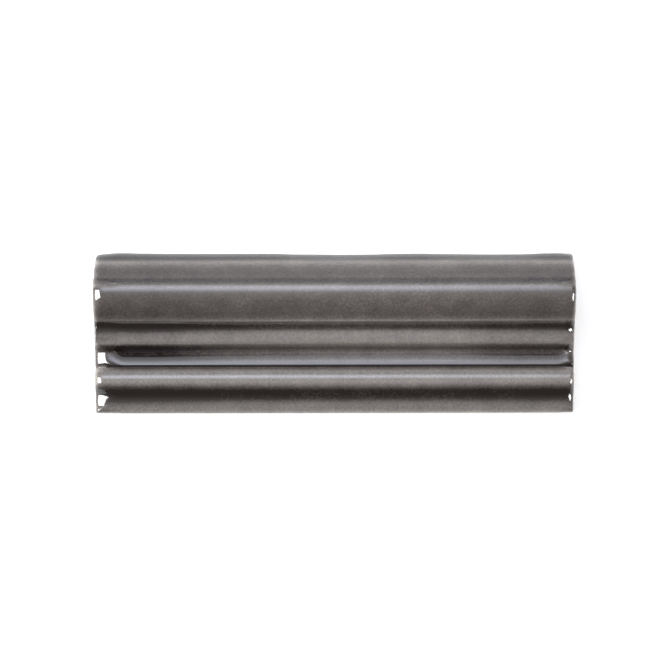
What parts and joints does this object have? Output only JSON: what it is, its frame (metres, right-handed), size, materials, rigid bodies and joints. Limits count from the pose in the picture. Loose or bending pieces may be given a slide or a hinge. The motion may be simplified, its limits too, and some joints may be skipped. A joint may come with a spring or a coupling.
{
  "type": "wall tile",
  "caption": "Oblong glazed ceramic moulding tile with a stepped, rounded face: foot, bead, quirk, hollow, band, large roll and a slope back to the wall.",
  "frame": {"origin": "middle of the tile's back, on the level it lies on", "axes": "+X along the tile, +Y from the foot edge to the top edge, +Z out of the wall, through the moulded face"},
  "size_m": [0.15, 0.05, 0.0173],
  "materials": {
    "glazed_face": "high gloss dark grey glaze on a cream clay body"
  },
  "bodies": {
    "root": {"moulding_tile": "glazed_face"}
  },
  "joints": []
}
